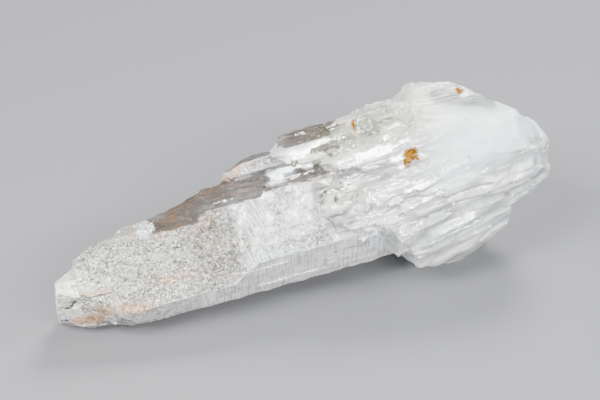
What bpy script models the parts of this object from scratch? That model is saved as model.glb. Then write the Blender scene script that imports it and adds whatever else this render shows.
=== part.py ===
"""Quartz crystal: one hand-sized specimen of milky quartz in parallel growth.

The specimen is a long main crystal with its blunt narrow end at -X, a staircase of smaller crystals grown side
by side along its upper edge, and a fan of milky ribs that spreads from the broken root at +X.  All of them
grew together, so they are one solid.

Everything is modelled in the crystal's own frame: X runs along the main crystal from its narrow end to its
root, Y runs up its widest prism face and Z stands out from that face.  The finished crystal is then rolled
onto its side, as it lies on a table.
"""

import bpy
import bmesh
from math import cos, pi, radians, sin, sqrt
from mathutils import Matrix, Vector
from random import Random

MM = 0.001
WELD = 0.001 * MM           # corners closer than this are one corner

# How it lies on the table.
ROLL = radians(60)          # turns the widest face from straight up to 30 degrees above the horizon
PITCH = radians(8)          # the root is thicker than the narrow end, so the long axis rises towards it
FLOOR = 8.4 * MM            # the table lies this far below the main crystal's axis at the narrow end

# Quartz: prism faces 60 degrees apart, closed by rhombohedral faces.
PRISM = radians(60)
RHOMB = radians(51.8)       # between the long axis and the normal of a rhombohedral face


def flat_block(length, back, width, height):
    """A closed box from x = -back to length, centred on Y, with its top at z = 0."""
    block = bmesh.new()
    bmesh.ops.create_cube(block, size=1)
    bmesh.ops.scale(block, vec=(length + back, width, height), verts=block.verts)
    bmesh.ops.translate(block, vec=((length - back) / 2, 0, -height / 2), verts=block.verts)
    return block


def cleave(block, point, normal):
    """Cuts away what lies beyond a plane and closes the cut with one flat face."""
    everything = block.verts[:] + block.edges[:] + block.faces[:]
    cut = bmesh.ops.bisect_plane(block, geom=everything, plane_co=point, plane_no=normal, clear_outer=True)
    rim = [piece for piece in cut["geom_cut"] if isinstance(piece, bmesh.types.BMEdge)]
    if rim:
        bmesh.ops.contextual_create(block, geom=rim)


def cleave_all(block, breaks):
    """Cleaves a block along broken faces, each a point in millimetres and an outward direction."""
    for point, normal in breaks:
        cleave(block, Vector(point) * MM, Vector(normal))


def prism_crystal(length, face, up, low, depth, ending):
    """One hexagonal crystal along X with its front face at z = 0 and the tip of that face at the origin.

    face is the width of the front face, up and low are the widths of the two faces beside it, and depth is the
    distance to the back.  The tip ends in a "point" of rhombohedral faces or in a broken "step".
    """
    block = flat_block(length, depth * 2, (face + up + low + depth) * 2, depth)
    across = {}
    for side, beside in ((1, up), (-1, low)):
        edge = Vector((0, side * face / 2, 0))
        cleave(block, edge, Vector((0, side * sin(PRISM), cos(PRISM))))
        turn = edge + beside * Vector((0, side * cos(PRISM), -sin(PRISM)))
        cleave(block, turn, Vector((0, side * sin(PRISM), -cos(PRISM))))
        across[side] = edge, turn
    if ending == "step":
        cleave(block, Vector((0, 0, 0)), Vector((-1, rng.uniform(-0.25, 0.25), rng.uniform(0.1, 0.3))))
        return block
    late = face * 0.5
    feet = (
        (Vector((0, 0, 1)), Vector((0, 0, 0))),
        (Vector((0, sin(PRISM), cos(PRISM))), across[1][0] + Vector((rng.uniform(0, late), 0, 0))),
        (Vector((0, -sin(PRISM), cos(PRISM))), across[-1][0] + Vector((rng.uniform(0, late), 0, 0))),
        (Vector((0, sin(PRISM), -cos(PRISM))), across[1][1] + Vector((rng.uniform(0, late), 0, 0))),
        (Vector((0, -sin(PRISM), -cos(PRISM))), across[-1][1] + Vector((rng.uniform(0, late), 0, 0))),
    )
    for outward, foot in feet:
        cleave(block, foot, outward * sin(RHOMB) - Vector((cos(RHOMB), 0, 0)))
    return block


def crystal_place(tip, swing, rise, turn=0):
    """Puts a crystal's tip in its place, turned up its face by swing, out of it by rise and about its length."""
    aim = Matrix.Rotation(radians(swing), 4, "Z") @ Matrix.Rotation(radians(-rise), 4, "Y")
    return Matrix.Translation(Vector(tip) * MM) @ aim @ Matrix.Rotation(radians(turn), 4, "X")


def as_object(name, block, collection):
    """Turns a bmesh into an object in a collection."""
    bmesh.ops.triangulate(block, faces=block.faces[:])
    bmesh.ops.recalc_face_normals(block, faces=block.faces[:])
    mesh = bpy.data.meshes.new(name)
    block.to_mesh(mesh)
    block.free()
    made = bpy.data.objects.new(name, mesh)
    made.hide_render = True
    made.display_type = "WIRE"
    collection.objects.link(made)
    return made


def new_collection(name):
    """Makes a collection in the scene."""
    collection = bpy.data.collections.new(name)
    bpy.context.scene.collection.children.link(collection)
    return collection


def grow(collection, crystals):
    """Fills a collection with overlapping crystals."""
    for name, tip, length, face, up, low, depth, swing, rise, ending, breaks in crystals:
        block = prism_crystal(length * MM, face * MM, up * MM, low * MM, depth * MM, ending)
        bmesh.ops.transform(block, matrix=crystal_place(tip, swing, rise), verts=block.verts)
        cleave_all(block, breaks)
        as_object(name, block, collection)


def grow_layers(collection):
    """Thin layers that had not yet spread across the lower and back faces when growth stopped."""
    for name, tip, length, face, swing, turn in LAYERS:
        block = prism_crystal(length * MM, face * MM, 0.6 * MM, 0.6 * MM, 2 * MM, "point")
        bmesh.ops.transform(block, matrix=crystal_place(tip, swing, 0, turn), verts=block.verts)
        as_object(name, block, collection)


def grow_back(collection, count):
    """Crystals side by side along the back, each starting nearer the root than the last."""
    for number in range(count):
        along = number / (count - 1)
        across = (number * 0.618) % 1
        tip = (32 + 36 * along, -7 + (8 + 8 * along) * across, -9.6 - 4.4 * along)
        block = prism_crystal((94 - tip[0]) * MM, rng.uniform(2.2, 4.0) * MM, rng.uniform(2, 4) * MM,
                              rng.uniform(2, 4) * MM, rng.uniform(7, 9) * MM, "point")
        place = crystal_place(tip, rng.uniform(-4, 6), rng.uniform(-3, 0), 180)
        bmesh.ops.transform(block, matrix=place, verts=block.verts)
        as_object(f"back_{number + 1}", block, collection)


def lump(name, collection, centre, radii, faces, roughness):
    """A rounded lump with flat broken faces: a box cleaved by planes that touch a rough ellipsoid."""
    block = flat_block(2 * radii[0] * MM, 2 * radii[0] * MM, 4 * radii[1] * MM, 4 * radii[2] * MM)
    bmesh.ops.translate(block, vec=(0, 0, 2 * radii[2] * MM), verts=block.verts)
    golden = pi * (3 - sqrt(5))
    for count in range(faces):
        height = 1 - 2 * (count + 0.5) / faces
        around = golden * count + rng.uniform(-0.2, 0.2)
        ring = sqrt(1 - height * height)
        outward = Vector((ring * cos(around), ring * sin(around), height))
        touch = Vector([part * radius * MM for part, radius in zip(outward, radii)])
        slope = Vector([part / radius for part, radius in zip(outward, radii)])
        cleave(block, touch * rng.uniform(1 - roughness, 1), slope)
    bmesh.ops.translate(block, vec=Vector(centre) * MM, verts=block.verts)
    as_object(name, block, collection)


def combine(obj, operation, operand):
    """Adds an exact Boolean with another object or with a whole collection and tidies its result."""
    step = obj.modifiers.new(operation.lower(), "BOOLEAN")
    step.operation = operation
    if isinstance(operand, bpy.types.Collection):
        step.operand_type = "COLLECTION"
        step.collection = operand
    else:
        step.object = operand
    weld = obj.modifiers.new("weld", "WELD")
    weld.merge_threshold = WELD
    obj.modifiers.new("flat triangles", "TRIANGULATE")


def etch_pits(collection):
    """Three-sided pits with flat sloping walls, all turned the same way, as acid leaves them on quartz."""
    for number in range(ETCH_PITS):
        block = bmesh.new()
        radius = rng.uniform(*ETCH_RADIUS)
        bmesh.ops.create_cone(block, cap_ends=True, segments=3, radius1=radius * 0.15 * MM,
                              radius2=radius * 2 * MM, depth=ETCH_DEPTH * 2 * MM)
        spot = (rng.uniform(*ETCH_X), rng.uniform(*ETCH_UP), ETCH_FACE + ETCH_DEPTH * rng.uniform(0.2, 0.6))
        bmesh.ops.transform(block, matrix=crystal_place(spot, rng.gauss(0, 6), 0), verts=block.verts)
        as_object(f"etch_pit_{number + 1}", block, collection)


def envelope(name, breaks):
    """A big box, cleaved by planes: what of the specimen lies outside it is broken off."""
    block = flat_block(140 * MM, 40 * MM, 120 * MM, 120 * MM)
    bmesh.ops.translate(block, vec=(0, 0, 60 * MM), verts=block.verts)
    for point, normal in breaks:
        cleave(block, point, normal)
    return as_object(name, block, cutters)


# The main crystal and the crystals that widen it.  One low facet cuts the underside of the narrow end.
TIP_FACET = ((1.2, -2.0, 9.6), (-0.332, -0.743, 0.581))
MAIN = (
    # name, tip of the front face (x, up, out), length, face, up, low, depth, swing, rise, ending, breaks
    ("core", (12.0, -0.7, 10.8), 85, 10.6, 5.0, 12.2, 21.0, 0, 0, "point",
     (((40, -6.2, 10.7), (0, -0.5, 0.87)),)),
    ("blade", (5.2, 0.4, 11.0), 48, 8.0, 11.4, 9.0, 17, 0, 0, "step",
     (((6.1, 3.6, 11), (-0.88, 0.46, 0.1)), ((6.1, 3.7, 11), (-0.46, 0.89, 0)),
      ((9.4, 5.3, 9.2), (-0.277, 0.832, -0.48)), ((52, 0, 9), (1, 0, 0.3)), TIP_FACET)),
    ("tip", (-1.2, -2.5, 10.1), 30, 5.6, 2.5, 12, 14, 0, 0.8, "step",
     (TIP_FACET, ((1.3, 0.2, 10.0), (-0.5, 0.86, 0)), ((0.5, -6.0, 4.0), (-0.98, 0.17, -0.02)),
      ((0.5, -6.0, 3.6), (-0.98, 0.14, -0.12)),
      ((0.8, -7.0, 3.0), (-0.45, -0.88, 0.1)), ((9.7, -10.7, 2.5), (-0.16, -0.98, -0.1)))),
    ("tip_keel", (9.4, -6.2, 8.4), 24, 4.6, 2.0, 4.4, 14, 0, 0.4, "step",
     (((9.2, -9.2, 3.0), (-0.92, -0.36, 0)),)),
    ("apron", (11.4, -3.9, 11.1), 27, 9.4, 2.0, 5.6, 16, 0, 0, "point",
     (((34.1, -8.1, 11), (0.42, -0.9, 0.1)),)),
    ("shoulder", (29.6, 1.2, 11.2), 50, 9.0, 8.2, 8.0, 19, 0.5, 0, "point", ()),
    ("shoulder_2", (40.4, 2.6, 11.5), 30, 7.6, 6.8, 3.0, 17, 1.5, 0, "point", ()),
    ("ledge_1", (18.4, 5.4, 9.7), 3.4, 1.6, 1.4, 1.0, 3.2, 6, 0, "step", ()),
    ("ledge_2", (31.4, 6.4, 9.6), 6.0, 1.0, 0.8, 0.8, 3.2, 2, 0, "point", ()),
    ("upper_1", (28.6, 4.6, 9.5), 60, 1.6, 5.8, 3, 14, 3, 0, "point", ()),
)

# The staircase along the upper edge.
UPPER = (
    ("upper_2", (38.6, 11.5, 5.2), 50, 2.2, 1.8, 6, 13, 1, 0, "point",
     (((37.6, 11.4, 4), (-0.85, 0.5, 0.1)), ((39.8, 12.4, 3), (-0.3, 0.95, 0)))),
    ("upper_3", (48.4, 12.4, 9.5), 42, 2.2, 4.7, 3.0, 15, 0, 0, "point", ()),
    ("upper_3b", (50.6, 10.6, 10.2), 30, 1.6, 2.0, 3.0, 12, -1, 3, "point", ()),
    ("plate", (44.2, 9.0, 9.9), 9, 2.0, 0.8, 0.8, 3.6, 0, 0, "step",
     (((44.6, 9.8, 9.9), (-0.7, 0.7, 0)),)),
    ("plate_2", (43.2, 7.7, 10.2), 8, 0.7, 0.8, 0.6, 3, 1, 0, "point", ()),
    ("upper_4", (62.6, 13.9, 9.6), 34, 3.2, 3.0, 6, 18, 1, 0, "point", ()),
    ("upper_4b", (58.0, 13.2, 9.4), 30, 3.0, 2.8, 5, 15, 2, 0, "step", ()),
    ("upper_4c", (66.6, 12.4, 11.6), 26, 3.6, 3.4, 4, 15, -3, 0, "step", ()),
    ("upper_5", (73.6, 16.3, 8.2), 22, 3.2, 3.0, 6, 20, -2, -4, "point", ()),
    ("upper_6", (82.6, 13.6, 8.6), 22, 3.6, 2.8, 6, 20, -14, -6, "step", ()),
)

# The ribs of the fan on the front.
RIBS = (
    ("front", (53.8, 0.9, 12.7), 40, 10.8, 2.0, 3.0, 8, 0, 0, "point", ()),
    ("rib_1", (57.0, 8.4, 14.2), 26, 2.9, 3.6, 5.6, 10, 0, -1, "point", ()),
    ("rib_2", (60.4, 6.3, 13.9), 24, 1.6, 3.0, 5.0, 10, -2, 0, "point", ()),
    ("rib_3", (56.0, 3.9, 13.3), 28, 2.8, 2.6, 4.4, 8, 2, 1.0, "point", ()),
    ("rib_4", (55.2, 1.0, 12.8), 28, 2.2, 2.0, 4.4, 8, 3, 1.5, "step", ()),
    ("rib_5", (60.2, 0.6, 14.6), 24, 4.2, 2.6, 5.4, 10, 5, -2, "point", ()),
    ("rib_6", (64.8, 2.4, 14.9), 18, 2.0, 2.4, 3.4, 9, 6, -3, "point", ()),
    ("rib_7", (69.8, -0.2, 14.8), 14, 1.6, 2.4, 3.4, 9, 13, -3, "point", ()),
    ("rib_8", (66.2, -3.0, 13.9), 20, 2.4, 2.6, 3.6, 9, 10, -1, "step", ()),
    ("rib_9", (69.2, -5.0, 13.2), 20, 1.4, 2.0, 3.0, 9, 11, -1, "point", ()),
    ("rib_10", (53.6, -2.5, 12.1), 14, 3.6, 1.2, 2.4, 8, 4, 1, "step", ()),
    ("rib_11", (58.6, -4.2, 12.4), 16, 3.0, 1.6, 2.6, 8, 6, 1, "point", ()),
    ("rib_12", (62.4, -5.2, 12.2), 16, 2.4, 1.6, 2.6, 8, 10, 0, "step", ()),
    ("band", (64.6, -8.2, 11.9), 30, 2.6, 2.4, 5.6, 12, 15, -1, "step", ()),
    ("rib_13", (70.4, 8.6, 13.6), 26, 3.2, 3.6, 4.6, 12, -6, 0, "step", ()),
    ("rib_14", (74.0, 11.0, 12.6), 24, 2.6, 3.2, 4.6, 14, -12, -1, "point", ()),
)

# The bent ribs of the foot, which the specimen rests on.
FOOT_END = ((88.8, -11.3, 5), (0.62, -0.78, 0.1))
FOOT_SIDE = ((88.6, -10.4, 5), (0.93, -0.36, 0.1))
FOOT_UNDER = ((79.1, -16.9, 4), (0.42, -0.91, 0))
FOOT = (
    ("foot_1", (71.4, -9.3, 9.9), 22, 2.2, 3, 2.0, 9, 12, 0, "point", (FOOT_END, FOOT_SIDE)),
    ("foot_2", (69.6, -11.3, 8.8), 24, 0.9, 2, 1.6, 10, 13, 0, "point", (FOOT_END, FOOT_SIDE, FOOT_UNDER)),
    ("foot_3", (67.4, -11.4, 8.0), 26, 4.6, 3, 4.8, 14, 12, 0, "step", (FOOT_END, FOOT_SIDE, FOOT_UNDER)),
    ("foot_4", (71.2, -13.0, 5.6), 24, 4.0, 3, 4.0, 14, 12, 0, "point", (FOOT_END, FOOT_SIDE, FOOT_UNDER)),
    ("foot_5", (73.6, -14.0, 2.6), 22, 4.0, 5, 3.8, 12, 10, 0, "step", (FOOT_END, FOOT_SIDE, FOOT_UNDER)),
    ("foot_6", (77.2, -13.0, 4.8), 20, 3.4, 5, 5.2, 12, 16, 0, "point", (FOOT_END, FOOT_SIDE, FOOT_UNDER)),
    ("foot_7", (74.0, -8.6, -5.0), 15, 8.4, 6, 7.4, 10, 3, 0, "point", (((84, -16.8, -9), (0.5, -0.85, 0)),)),
)

# Growth layers: name, tip (x, up, out), length, width, swing, and the turn that lays them on their face.
LAYERS = (
    ("layer_1", (38.0, -11.1, 2.6), 24, 1.6, 0, 60),
    ("layer_2", (24.0, -8.6, 6.8), 20, 5.0, 0, 60),
    ("layer_3", (52.0, -9.6, 5.1), 16, 5.4, 1, 60),
    ("layer_4", (20.0, -10.6, -3.2), 34, 4.0, 0, 120),
    ("layer_5", (34.0, -9.0, -6.0), 30, 3.0, -1, 120),
    ("layer_6", (14.0, -2.0, -10.5), 16, 6.0, 0, 180),
)

# The broken faces of the root.
ROOT_BREAKS = (
    ((74.8, 19.2, 6), (0.1, 0.995, -0.1)),
    ((78.7, 18.8, 6), (0.325, 0.946, -0.1)),
    ((84.6, 16.3, 6), (0.613, 0.79, 0.05)),
    ((95.5, 8.4, 6), (0.746, 0.666, 0.2)),
    ((99.7, 1.0, 4), (0.99, 0.03, 0.1)),
    ((100.1, -2.9, 4), (0.93, -0.367, 0)),
    ((93.0, -7.6, 4), (0.21, -0.98, 0.1)),
    ((99.0, 2.0, -4), (0.8, -0.1, -0.6)),
    ((94.6, 4.0, 11.5), (0.72, 0.16, 0.67)),
    ((97.6, -2.0, 8.5), (0.88, -0.1, 0.46)),
    ((91.0, -5.4, 10.5), (0.35, -0.72, 0.6)),
)

# Pits and broken pockets: name, middle, radii.
PITS = (
    ("tip_pit", (3.7, -4.4, 8.4), (1.2, 0.8, 1.7)),
    ("window", (54.7, -2.3, 14.0), (2.9, 2.1, 1.75)),
    ("black_pit", (55.2, 2.0, 13.0), (0.5, 0.45, 0.9)),
    ("rust_pocket", (70.8, 6.3, 14.5), (1.6, 1.1, 1.4)),
    ("rust_notch", (62.8, 14.2, 10.2), (0.6, 1.4, 1.0)),
    ("amber_pocket", (83.7, 15.3, 10.3), (0.8, 0.8, 0.9)),
    ("rim_pit", (97.4, -1.2, 9.0), (0.8, 0.7, 0.9)),
)

# Shallow three-sided etch pits all over the widest face: how many, the area (x and up), radius and depth.
ETCH_PITS = 46
ETCH_X = (9.0, 45.0)
ETCH_UP = (-7.0, 3.6)
ETCH_RADIUS = (0.45, 1.15)
ETCH_DEPTH = 0.4
ETCH_FACE = 11.1

for leftover in list(bpy.data.objects):
    bpy.data.objects.remove(leftover)

rng = Random(7)
specimen = new_collection("quartz_crystal")
growth = new_collection("growth")
foot_growth = new_collection("foot_growth")
cutters = new_collection("cutters")
pits = new_collection("pits")

grow(growth, MAIN + UPPER + RIBS)
grow(foot_growth, FOOT)
grow_layers(growth)
grow_back(growth, 9)
lump("root", growth, (80.0, 3.8, -2.8), (21.0, 13.8, 13.4), 34, 0.06)
lump("rim", growth, (93.5, -2.2, 6.0), (5.8, 5.6, 5.2), 18, 0.05)
lump("dome", growth, (85.8, 3.6, 4.0), (15.4, 8.6, 11.4), 110, 0.01)

root_envelope = envelope("root_envelope", [(Vector(point) * MM, Vector(way)) for point, way in ROOT_BREAKS])
laid = Matrix.Translation((0, 0, FLOOR)) @ Matrix.Rotation(-PITCH, 4, "Y") @ Matrix.Rotation(ROLL, 4, "X")
table_envelope = envelope("table_envelope", [(laid.inverted() @ Vector((0, 0, 0)),
                                              laid.inverted().to_3x3() @ Vector((0, 0, -1)))])

for name, middle, radii in PITS:
    lump(name, pits, middle, radii, 14, 0.1)
etch_pits(pits)

seed = growth.objects["core"]
growth.objects.unlink(seed)
specimen.objects.link(seed)
combine(seed, "UNION", growth)
combine(seed, "INTERSECT", root_envelope)
combine(seed, "UNION", foot_growth)
combine(seed, "INTERSECT", table_envelope)
combine(seed, "DIFFERENCE", pits)
bpy.context.view_layer.update()
mesh = bpy.data.meshes.new_from_object(seed.evaluated_get(bpy.context.evaluated_depsgraph_get()))
quartz = bpy.data.objects.new("quartz_crystal", mesh)
specimen.objects.link(quartz)
for helper in [seed, *growth.objects, *foot_growth.objects, *cutters.objects, *pits.objects]:
    bpy.data.objects.remove(helper)
mesh.transform(laid)

# The origin is under the middle of the specimen.
corners = [Vector(corner) for corner in quartz.bound_box]
middle = (Vector(map(min, zip(*corners))) + Vector(map(max, zip(*corners)))) / 2
to_origin = Vector((-middle.x, -middle.y, 0))
mesh.transform(Matrix.Translation(to_origin))

milky_quartz = bpy.data.materials.new("milky_quartz")
milky_quartz.use_nodes = True
surface = milky_quartz.node_tree.nodes["Principled BSDF"]
surface.inputs["Base Color"].default_value = (0.80, 0.79, 0.77, 1)
surface.inputs["Roughness"].default_value = 0.28
surface.inputs["Metallic"].default_value = 0
surface.inputs["IOR"].default_value = 1.544
surface.inputs["Transmission Weight"].default_value = 0.35
mesh.materials.clear()
mesh.materials.append(milky_quartz)
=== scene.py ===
"""Looks of the quartz crystal: the surface, clarity, stains and rust grains of one milky quartz specimen."""

import bpy
import bmesh
import numpy as np
from math import cos, radians, sin
from mathutils import Matrix, Vector, noise
from random import Random


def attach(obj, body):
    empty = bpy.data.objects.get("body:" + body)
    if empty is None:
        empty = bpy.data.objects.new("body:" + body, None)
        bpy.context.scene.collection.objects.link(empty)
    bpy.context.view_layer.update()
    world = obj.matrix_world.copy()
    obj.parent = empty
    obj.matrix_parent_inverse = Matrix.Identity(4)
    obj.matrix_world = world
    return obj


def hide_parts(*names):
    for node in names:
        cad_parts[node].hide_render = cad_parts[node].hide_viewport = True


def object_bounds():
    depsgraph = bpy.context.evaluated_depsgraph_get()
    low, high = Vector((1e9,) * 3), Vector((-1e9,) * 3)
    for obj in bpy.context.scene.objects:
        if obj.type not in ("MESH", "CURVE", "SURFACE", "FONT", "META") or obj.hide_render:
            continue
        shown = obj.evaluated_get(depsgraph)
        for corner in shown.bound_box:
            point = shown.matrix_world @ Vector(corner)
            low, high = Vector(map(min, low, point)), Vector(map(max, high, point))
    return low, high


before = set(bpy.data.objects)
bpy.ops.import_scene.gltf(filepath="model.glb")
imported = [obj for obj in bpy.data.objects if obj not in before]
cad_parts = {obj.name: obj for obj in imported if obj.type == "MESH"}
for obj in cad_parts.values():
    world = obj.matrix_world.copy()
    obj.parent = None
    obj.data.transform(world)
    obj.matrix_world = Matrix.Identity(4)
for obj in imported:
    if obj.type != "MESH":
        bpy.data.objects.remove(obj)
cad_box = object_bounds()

# ---------------------------------------------------------------------------------------------------------
# The crystal.  One natural piece of milky quartz: a six-sided main crystal with smaller ones along its
# upper edge, all grown together and broken off at the root.  Its fine skin is made from the solid.

MM = 0.001

# In the crystal's own frame X runs along it from the tip, Y up its widest face and Z out of that face, in
# millimetres.  It lies on the table rolled onto its side.
ROLL = radians(60)
PITCH = radians(8)
AXIS_HEIGHT = 8.4 * MM
SHIFT = Vector((-49.9719 * MM, -1.5855 * MM, AXIS_HEIGHT))
laid = (Matrix.Translation(SHIFT) @ Matrix.Rotation(-PITCH, 4, "Y") @ Matrix.Rotation(ROLL, 4, "X")
        @ Matrix.Scale(MM, 4))

crystal_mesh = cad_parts["quartz_crystal"].data.copy()
crystal_mesh.name = "crystal"
crystal = bpy.data.objects.new("crystal", crystal_mesh)
bpy.context.scene.collection.objects.link(crystal)

solid = bmesh.new()
solid.from_mesh(crystal_mesh)
bmesh.ops.remove_doubles(solid, verts=solid.verts, dist=0.001 * MM)
bmesh.ops.transform(solid, matrix=laid.inverted(), verts=solid.verts)
solid.to_mesh(crystal_mesh)
solid.free()

# An even grid of small faces that keeps every crystal edge sharp.
grid = crystal.modifiers.new("grid", "REMESH")
grid.mode = "SHARP"
grid.octree_depth = 8
grid.scale = 0.84
grid.use_remove_disconnected = True
grid_mesh = bpy.data.meshes.new_from_object(crystal.evaluated_get(bpy.context.evaluated_depsgraph_get()))
crystal.modifiers.clear()

skin = bmesh.new()
skin.from_mesh(grid_mesh)
for attempt in range(6):
    # Where two corners of the grid touch, four faces share an edge: they are taken out and filled again.
    pinched = [edge for edge in skin.edges if len(edge.link_faces) != 2]
    if not pinched:
        break
    touching = {face for edge in pinched for vert in edge.verts for face in vert.link_faces}
    bmesh.ops.delete(skin, geom=list(touching), context="FACES")
    bmesh.ops.delete(skin, geom=[edge for edge in skin.edges if not edge.link_faces], context="EDGES")
    bmesh.ops.delete(skin, geom=[vert for vert in skin.verts if not vert.link_edges], context="VERTS")
    bmesh.ops.holes_fill(skin, edges=[edge for edge in skin.edges if edge.is_boundary], sides=0)

# Twice as fine on the etched face and on the ribs and plates of the root.
ETCHED_END, CRYSTAL_MIDDLE = 52, 4
ETCHED_FACES_OUT, ROOT_FACES_OUT = 0.88, 0.25
skin.normal_update()
fine = []
for edge in skin.edges:
    corner = edge.verts[0]
    faces_out = ETCHED_FACES_OUT if corner.co.x < ETCHED_END else ROOT_FACES_OUT
    if corner.normal.z > faces_out and corner.co.z > CRYSTAL_MIDDLE:
        fine.append(edge)
bmesh.ops.subdivide_edges(skin, edges=fine, cuts=1, use_grid_fill=True)
bmesh.ops.triangulate(skin, faces=[face for face in skin.faces if len(face.verts) > 4])
skin.verts.ensure_lookup_table()

# The relief is worked out on arrays: the points, and the two ends of every edge.
points = np.array([vert.co for vert in skin.verts])
ends = np.array([[vert.index for vert in edge.verts] for edge in skin.edges])
neighbours = np.bincount(ends.ravel(), minlength=len(points))


def spread(values):
    """The mean of each point's neighbours."""
    sums = np.zeros_like(values)
    np.add.at(sums, ends[:, 0], values[ends[:, 1]])
    np.add.at(sums, ends[:, 1], values[ends[:, 0]])
    return (sums.T / neighbours).T


def soften(moved, weight, rounds):
    """Rounds edges and corners by moving each point towards its neighbours."""
    for step in range(rounds):
        moved = moved + 0.5 * weight[:, None] * (spread(moved) - moved)
    return moved


def surface_normals():
    """The outward direction at every point, after the points have moved."""
    for vert, point in zip(skin.verts, points):
        vert.co = point
    skin.normal_update()
    return np.array([vert.normal for vert in skin.verts])


def ramp(low, high, value):
    """Rises smoothly from 0 at low to 1 at high."""
    part = np.clip((value - low) / (high - low), 0, 1)
    return part * part * (3 - 2 * part)


def noise_places(scale, shift, places):
    """Each point's place in the noise; scale is the grain along X, Y and Z, and shift picks the pattern."""
    for x, y, z in points if places is None else places:
        yield Vector((x / scale[0] + shift, y / scale[1], z / scale[2]))


def field(scale, octaves, shift, places=None):
    """Smooth noise from -1 to 1 at every point."""
    roughness, finer = 0.9, 2.1
    return np.array([noise.fractal(place, roughness, finer, octaves)
                     for place in noise_places(scale, shift, places)])


def own_values(centre):
    """Three random values from 0 to 1 that belong to one cell of the noise."""
    spaced_out = 61.7
    return noise.cell_vector(centre * spaced_out)


def grains(scale, shift, places=None):
    """Small flat facets, each tilted its own way: the height of the facet at every point."""
    heights = []
    for place in noise_places(scale, shift, places):
        distances, centres = noise.voronoi(place)
        tilt = own_values(centres[0]) - Vector((0.5, 0.5, 0.5))
        heights.append((place - centres[0]).dot(tilt))
    return np.array(heights)


def scallops(scale, shift, places=None):
    """Hollows with sharp ridges between them, as glass breaks: 0 in the middles, about 0.5 on the ridges."""
    return np.array([noise.voronoi(place)[0][0] ** 2 for place in noise_places(scale, shift, places)])


def plates(scale, shift, places):
    """Flat plates side by side: the plate's level at every point, from -0.5 to 0.5, 1 on the seams, a random
    value of the plate's own, and its number."""
    levels, seams, picks, which = [], [], [], []
    numbers = {}
    for place in noise_places(scale, shift, places):
        distances, centres = noise.voronoi(place)
        level, pick, unused = own_values(centres[0])
        levels.append(level)
        picks.append(pick)
        seams.append(distances[1] - distances[0])
        which.append(numbers.setdefault(tuple(round(value, 3) for value in centres[0]), len(numbers)))
    return np.array(levels) - 0.5, ramp(0.14, 0.03, np.array(seams)), np.array(picks), np.array(which)


def around(x, y, long, wide):
    """1 at a place of the widest face and fading away from it, over a length and a width."""
    return np.exp(-(((along - x) / long) ** 2 + ((up - y) / wide) ** 2))


# The prism's lower and upper side faces look 60 degrees away from the widest one, which looks out.
SIDE_OUT, SIDE_UP = 0.5, 0.866
along, up, out = points.T
normals = surface_normals()

# The root starts here on the widest face, and further along on the lower face and the upper crystals.
ROOT_START, ROOT_BLEND = 51.0, 9.0
lower_face = ramp(0.3, 0.8, SIDE_OUT * normals[:, 2] - SIDE_UP * normals[:, 1])
root_edge = ROOT_START + 13.0 * lower_face + 0.55 * np.clip(up - 7.0, 0, 9) * (out > 0)
root = ramp(0.0, ROOT_BLEND, along - root_edge + 2.5 * field((4.0, 2.5, 3.0), 2, 61.0))

# Growth edges stay crisp in some places and are worn in others.  The root is rounded, its dome most of all,
# and so are the foot with its heel, the broken back, and the back crystals' ends round the tip.
wear = 0.6 * ramp(-0.1, 0.5, field((3.0, 3.0, 3.0), 2, 11.0))
dome = ramp(70.0, 80.0, along) * ramp(-5.0, 0.0, up - 0.25 * (along - 75.0)) * ramp(17.0, 12.0, up)
foot = ramp(64.0, 68.0, along) * ramp(-1.0, -5.0, up - 0.2 * (along - 75.0)) * ramp(-6.0, -2.0, out)
collar = ramp(6.0, 8.0, along) * ramp(20.0, 15.0, along) * ramp(2.0, -1.0, out)
spur = ramp(6.0, 8.0, along) * ramp(14.0, 12.0, along) * ramp(-5.0, -6.0, up)
heel = around(66.0, -9.5, 3.0, 3.0) * (out > -4)
broken_back = 0.9 * ramp(2.0, -2.0, out) * root
for weight, rounds in ((wear, 3), (0.5 * root, 3), (dome, 24), (0.8 * foot, 24), (broken_back, 8),
                       (0.9 * np.maximum(spur, heel), 20), (collar, 70)):
    points = soften(points, weight, rounds)

# Blender's turbulence starts from the clock unless it is given a seed.
noise.seed_set(5)


def bend(scale, shift):
    """Three smooth noises in one, from about -1 to 1, to push every point off the straight."""
    octaves, hard = 2, False
    return np.array([noise.turbulence_vector(Vector(point) / scale + Vector((shift, 0, 0)), octaves, hard)
                     for point in points])


points = points + bend(5.0, 71.0) * (0.10 + 0.12 * root)[:, None]
points = points + bend(1.4, 81.0) * (0.06 - 0.05 * dome)[:, None]

# The fan of ribs runs together towards a point beyond the root.  Each point's distance from there, and its
# angle there made into millimetres about halfway along the ribs.
FAN_X, FAN_UP, HALFWAY = 128.0, -1.0, 60
fan = np.stack([np.hypot(FAN_X - along, up - FAN_UP),
                np.arctan2(up - FAN_UP, FAN_X - along) * HALFWAY, out], 1)

# The zones, from 0 to 1.  Off the root: the etched widest face, the striated lower face and the smoky upper
# face.  On it: ribs, knobs, clear windows, rubble, the broken back, plain parts and plates.
along, up, out = points.T
normals = surface_normals()
front = ramp(0.80, 0.95, normals[:, 2])
bevel = ramp(0.75, 0.9, SIDE_OUT * normals[:, 2] - SIDE_UP * normals[:, 1]) * (1 - 0.9 * root)
shelf = ramp(0.75, 0.9, SIDE_OUT * normals[:, 2] + SIDE_UP * normals[:, 1])
tip = ramp(13.0, 9.0, along) * (out > 0) * ramp(0.0, 0.3, normals[:, 2])
etched = np.maximum(front, tip) * (1 - ramp(50.0, 53.0, along + 0.3 * up))
outer = ramp(-3.0, 3.0, out)
ribbed = root * outer * ramp(62.0, 68.0, along) * ramp(2.0, -2.0, up - 0.18 * (along - 75.0))
knobbly = root * outer * ramp(7.5, 9.5, up) * ramp(78.0, 72.0, along)
window = around(54.7, -1.8, 2.4, 1.9) * (out > 0)
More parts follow.
